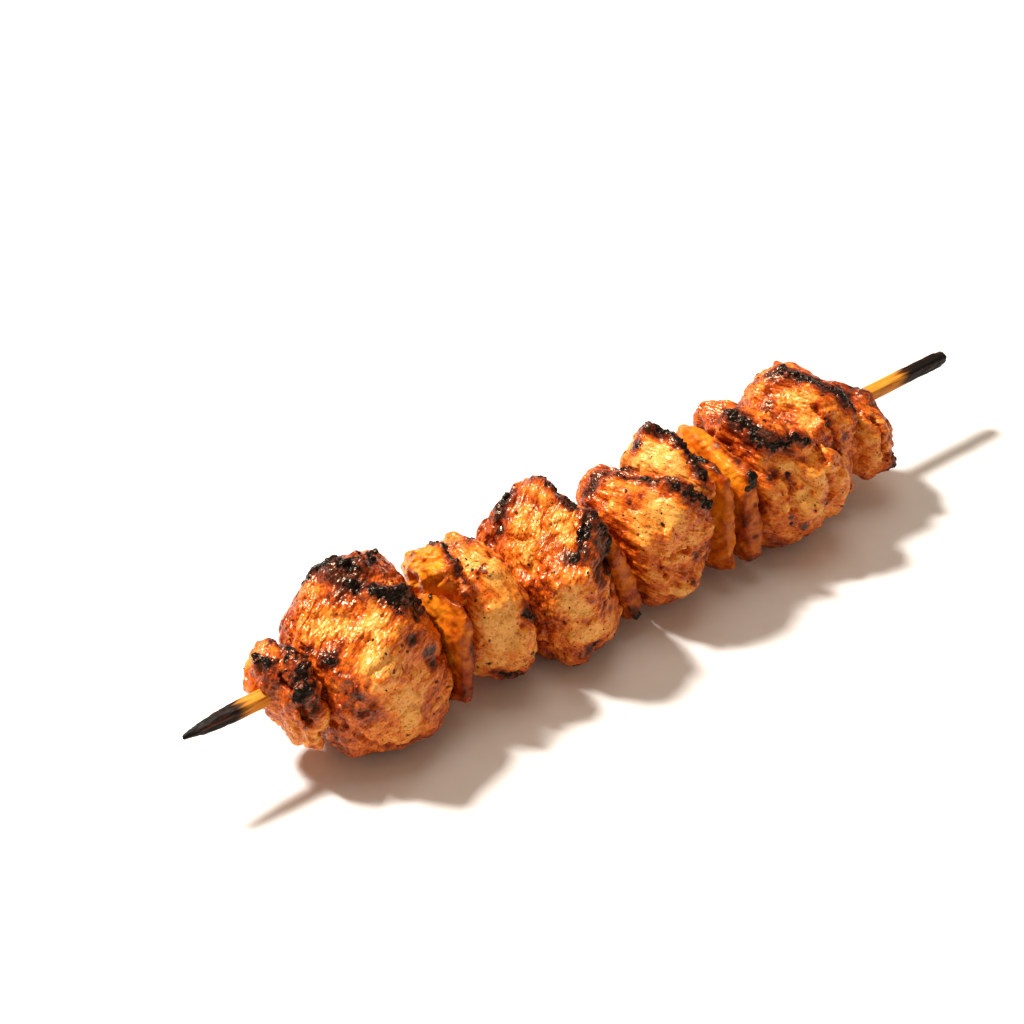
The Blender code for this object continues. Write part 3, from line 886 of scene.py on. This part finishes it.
def strewn(name, count, small, large, flat, material):
    """Strews copies of one squashed grain, small to large mm long, over the chicken and joins them."""
    bpy.ops.object.select_all(action="DESELECT")
    bpy.ops.mesh.primitive_ico_sphere_add(subdivisions=1, radius=0.5)
    grain = bpy.context.object
    grain.data.materials.append(material)
    room = np.cumsum([len(piece.data.vertices) for piece in chicken_pieces])
    copies = []
    for _ in range(count):
        pick = rng.randrange(room[-1])
        piece = chicken_pieces[int(np.searchsorted(room, pick, "right"))]
        point = piece.data.vertices[pick % len(piece.data.vertices)]
        length = (small + (large - small) * rng.random() ** 2) * MM
        size = Vector((length, length * rng.uniform(0.45, 0.9), length * flat))
        spin = Quaternion((0, 0, 1), rng.uniform(0, math.tau))
        copied = bpy.data.objects.new(name, grain.data.copy())
        for corner in copied.data.vertices:
            corner.co *= rng.uniform(0.5, 1.2)
        bpy.context.scene.collection.objects.link(copied)
        lying = point.normal.to_track_quat("Z", "Y") @ spin
        copied.matrix_world = Matrix.LocRotScale(point.co, lying, size)
        copies.append(copied)
    bpy.data.objects.remove(grain)
    bpy.ops.object.select_all(action="DESELECT")
    for copied in copies:
        copied.select_set(True)
    bpy.context.view_layer.objects.active = copies[0]
    bpy.ops.object.join()
    joined = bpy.context.object
    bpy.ops.object.transform_apply(location=True, rotation=True, scale=True)
    set_on_table(joined)
    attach(joined, "root")


crumb_finish = speck_finish("cracked pepper", (0.006, 0.004, 0.003), (0.040, 0.010, 0.004))
strewn("cracked_pepper", 1000, 0.3, 1.4, 0.4, crumb_finish)
herb_finish = speck_finish("dried herb", (0.10, 0.016, 0.004), (0.24, 0.055, 0.008))
strewn("herb_flakes", 1100, 0.4, 1.9, 0.25, herb_finish)


# ---- The floor, the light and the camera -------------------------------------------------------------
# Not part of the kebab: a plain pale table, a soft window-like key light from behind on the left, and a
# pale room.

FLOOR_SIZE = 6
KEY_AZIMUTH, KEY_HEIGHT = 120, 55
CAMERA_AIM = Vector((-14.2, 21.1, 23)) * MM
CAMERA_AZIMUTH, CAMERA_HEIGHT = -37.27, 39.66
CAMERA_AWAY = 593 * MM

bpy.ops.mesh.primitive_plane_add(size=FLOOR_SIZE)
floor = bpy.context.object
floor.name = "floor"
floor_finish = Finish("pale table")
floor_speckle = floor_finish.noise(6 * MM, 3, 0.5)
floor_colour = floor_finish.ramp(floor_speckle, [(0.3, (0.82, 0.80, 0.78)), (0.7, (0.85, 0.83, 0.81))])
floor_finish.feed(floor_finish.shader.inputs["Base Color"], floor_colour)
floor_finish.shader.inputs["Roughness"].default_value = 0.5
floor.data.materials.append(floor_finish.material)


def direction(azimuth, height):
    """The unit vector towards an azimuth counted from +X and a height above the table, in degrees."""
    turn, rise = math.radians(azimuth), math.radians(height)
    return Vector((math.cos(turn) * math.cos(rise), math.sin(turn) * math.cos(rise), math.sin(rise)))


def soft_box(name, azimuth, height, away, size, power, colour):
    light = bpy.data.lights.new(name, "AREA")
    light.size = size
    light.energy = power
    light.color = colour
    box = bpy.data.objects.new(name, light)
    bpy.context.scene.collection.objects.link(box)
    towards = direction(azimuth, height)
    box.location = towards * away
    box.rotation_euler = towards.to_track_quat("Z", "Y").to_euler()


soft_box("key", KEY_AZIMUTH, KEY_HEIGHT, 1.2, 0.15, 28, (1.0, 0.96, 0.90))
soft_box("overhead", 60, 80, 1.0, 0.5, 2, (1.0, 0.92, 0.84))

world = bpy.data.worlds.new("pale room")
bpy.context.scene.world = world
world.use_nodes = True
world.node_tree.nodes["Background"].inputs["Color"].default_value = (1.0, 0.79, 0.58, 1)
world.node_tree.nodes["Background"].inputs["Strength"].default_value = 0.34
bpy.context.scene.view_settings.view_transform = "Standard"

lens = bpy.data.cameras.new("camera")
lens.lens = 80
lens.sensor_width = 36
camera = bpy.data.objects.new("camera", lens)
bpy.context.scene.collection.objects.link(camera)
towards_camera = direction(CAMERA_AZIMUTH - 90, CAMERA_HEIGHT)
camera.location = CAMERA_AIM + towards_camera * CAMERA_AWAY
camera.rotation_euler = towards_camera.to_track_quat("Z", "Y").to_euler()
bpy.context.scene.camera = camera

for grain in [thing for thing in bpy.data.objects if thing.name.startswith("grain")]:
    bpy.data.objects.remove(grain)
